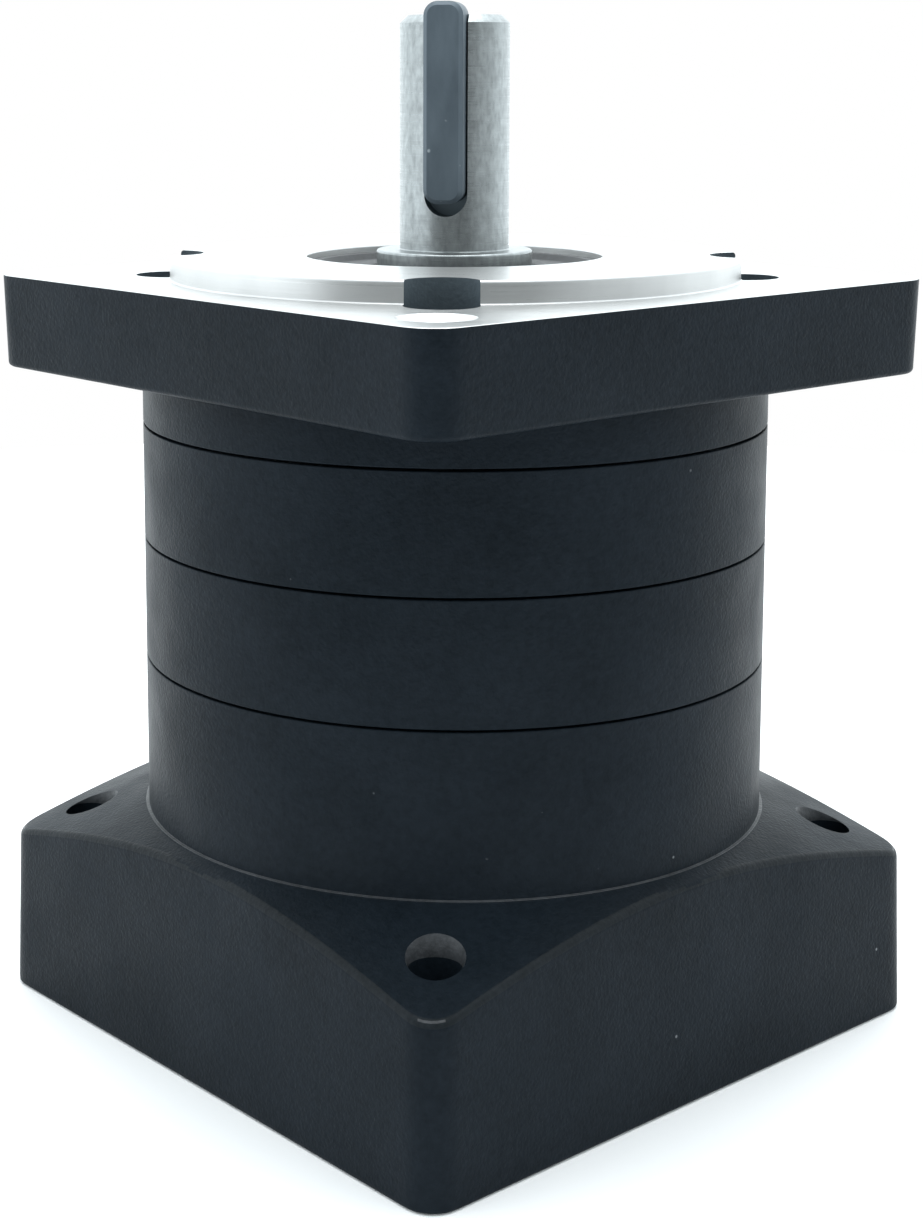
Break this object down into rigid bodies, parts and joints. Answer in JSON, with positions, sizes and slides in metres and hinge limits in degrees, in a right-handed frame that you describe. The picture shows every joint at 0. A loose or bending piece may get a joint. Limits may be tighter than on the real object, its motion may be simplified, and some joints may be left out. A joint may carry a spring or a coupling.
{
  "type": "inline gear reducer",
  "caption": "Inline planetary gear reducer with a square output flange, keyed output shaft, ring gear barrel and square motor adapter with a clamp hub.",
  "frame": {"origin": "centre of the motor face, at the bottom of the square adapter", "axes": "+Z along the output shaft, away from the motor; X and Y along the sides of the square flange and adapter"},
  "size_m": [0.086, 0.086, 0.1314],
  "materials": {
    "paint": "satin black paint, fine texture, machined bright on the output face",
    "ground_steel": "ground",
    "gear_steel": "machined and hardened",
    "bearing_steel": "polished",
    "key_steel": "blued, drawn",
    "black_oxide": "black oxide",
    "rubber": "matte",
    "bronze": "sintered bronze",
    "plug": "matte"
  },
  "bodies": {
    "casing": {"output_flange_housing": "paint", "output_ring_gear": "paint", "input_ring_gear": "paint", "motor_adapter": "paint", "tie_screw_1": "black_oxide", "tie_screw_2": "black_oxide", "tie_screw_3": "black_oxide", "tie_screw_4": "black_oxide", "access_plug": "plug", "output_oil_seal": "rubber", "input_oil_seal": "rubber", "front_bearing_outer_ring": "bearing_steel", "rear_bearing_outer_ring": "bearing_steel", "input_bearing_outer_ring": "bearing_steel", "adapter_circlip": "bearing_steel"},
    "output_shaft": {"output_shaft": "ground_steel", "output_key": "key_steel", "output_carrier_plate": "gear_steel", "output_planet_pin_1": "bearing_steel", "output_planet_pin_2": "bearing_steel", "output_planet_pin_3": "bearing_steel", "front_bearing_inner_ring": "bearing_steel", "rear_bearing_inner_ring": "bearing_steel"},
    "input_carrier": {"input_carrier": "gear_steel", "input_carrier_plate": "gear_steel", "input_planet_pin_1": "bearing_steel", "input_planet_pin_2": "bearing_steel", "input_planet_pin_3": "bearing_steel", "output_sun_gear": "gear_steel"},
    "input_hub": {"input_hub": "gear_steel", "clamp_collar": "black_oxide", "clamp_screw": "black_oxide", "reducing_sleeve": "gear_steel", "input_sun_gear": "gear_steel", "hub_circlip": "bearing_steel", "input_bearing_inner_ring": "bearing_steel"},
    "front_ball_cage": {"front_bearing_ball_cage": "bearing_steel"},
    "rear_ball_cage": {"rear_bearing_ball_cage": "bearing_steel"},
    "input_ball_cage": {"input_bearing_ball_cage": "bearing_steel"},
    "output_planet_1": {"output_planet_gear_1": "gear_steel", "output_planet_bush_1": "bronze"},
    "output_planet_2": {"output_planet_gear_2": "gear_steel", "output_planet_bush_2": "bronze"},
    "output_planet_3": {"output_planet_gear_3": "gear_steel", "output_planet_bush_3": "bronze"},
    "input_planet_1": {"input_planet_gear_1": "gear_steel", "input_planet_bush_1": "bronze"},
    "input_planet_2": {"input_planet_gear_2": "gear_steel", "input_planet_bush_2": "bronze"},
    "input_planet_3": {"input_planet_gear_3": "gear_steel", "input_planet_bush_3": "bronze"}
  },
  "joints": [
    {"name": "output_shaft_turn", "type": "hinge", "parent": "casing", "child": "output_shaft", "pos_m": [0, 0, 0.09], "axis": [0, 0, 1], "continuous": true},
    {"name": "input_hub_turn", "type": "hinge", "parent": "casing", "child": "input_hub", "pos_m": [0, 0, 0.03], "axis": [0, 0, 1], "continuous": true},
    {"name": "input_carrier_turn", "type": "hinge", "parent": "casing", "child": "input_carrier", "pos_m": [0, 0, 0.0602], "axis": [0, 0, 1], "continuous": true},
    {"name": "output_planet_spin_1", "type": "hinge", "parent": "output_shaft", "child": "output_planet_1", "pos_m": [0, 0.01875, 0.07085], "axis": [0, 0, 1], "continuous": true},
    {"name": "output_planet_spin_2", "type": "hinge", "parent": "output_shaft", "child": "output_planet_2", "pos_m": [-0.01624, -0.00937, 0.07085], "axis": [0, 0, 1], "continuous": true},
    {"name": "output_planet_spin_3", "type": "hinge", "parent": "output_shaft", "child": "output_planet_3", "pos_m": [0.01624, -0.00937, 0.07085], "axis": [0, 0, 1], "continuous": true},
    {"name": "input_planet_spin_1", "type": "hinge", "parent": "input_carrier", "child": "input_planet_1", "pos_m": [0, 0.01875, 0.0546], "axis": [0, 0, 1], "continuous": true},
    {"name": "input_planet_spin_2", "type": "hinge", "parent": "input_carrier", "child": "input_planet_2", "pos_m": [-0.01624, -0.00937, 0.0546], "axis": [0, 0, 1], "continuous": true},
    {"name": "input_planet_spin_3", "type": "hinge", "parent": "input_carrier", "child": "input_planet_3", "pos_m": [0.01624, -0.00937, 0.0546], "axis": [0, 0, 1], "continuous": true},
    {"name": "front_cage_turn", "type": "hinge", "parent": "casing", "child": "front_ball_cage", "pos_m": [0, 0, 0.0886], "axis": [0, 0, 1], "continuous": true},
    {"name": "rear_cage_turn", "type": "hinge", "parent": "casing", "child": "rear_ball_cage", "pos_m": [0, 0, 0.0808], "axis": [0, 0, 1], "continuous": true},
    {"name": "input_cage_turn", "type": "hinge", "parent": "casing", "child": "input_ball_cage", "pos_m": [0, 0, 0.0408], "axis": [0, 0, 1], "continuous": true}
  ],
  "couplings": [
    {"joint": "input_hub_turn", "follows": "output_shaft_turn", "ratio": 25},
    {"joint": "input_carrier_turn", "follows": "output_shaft_turn", "ratio": 5},
    {"joint": "output_planet_spin_1", "follows": "output_shaft_turn", "ratio": -2.6667},
    {"joint": "output_planet_spin_2", "follows": "output_shaft_turn", "ratio": -2.6667},
    {"joint": "output_planet_spin_3", "follows": "output_shaft_turn", "ratio": -2.6667},
    {"joint": "input_planet_spin_1", "follows": "output_shaft_turn", "ratio": -13.333},
    {"joint": "input_planet_spin_2", "follows": "output_shaft_turn", "ratio": -13.333},
    {"joint": "input_planet_spin_3", "follows": "output_shaft_turn", "ratio": -13.333},
    {"joint": "front_cage_turn", "follows": "output_shaft_turn", "ratio": 0.4385},
    {"joint": "rear_cage_turn", "follows": "output_shaft_turn", "ratio": 0.4652},
    {"joint": "input_cage_turn", "follows": "output_shaft_turn", "ratio": 10.634}
  ]
}
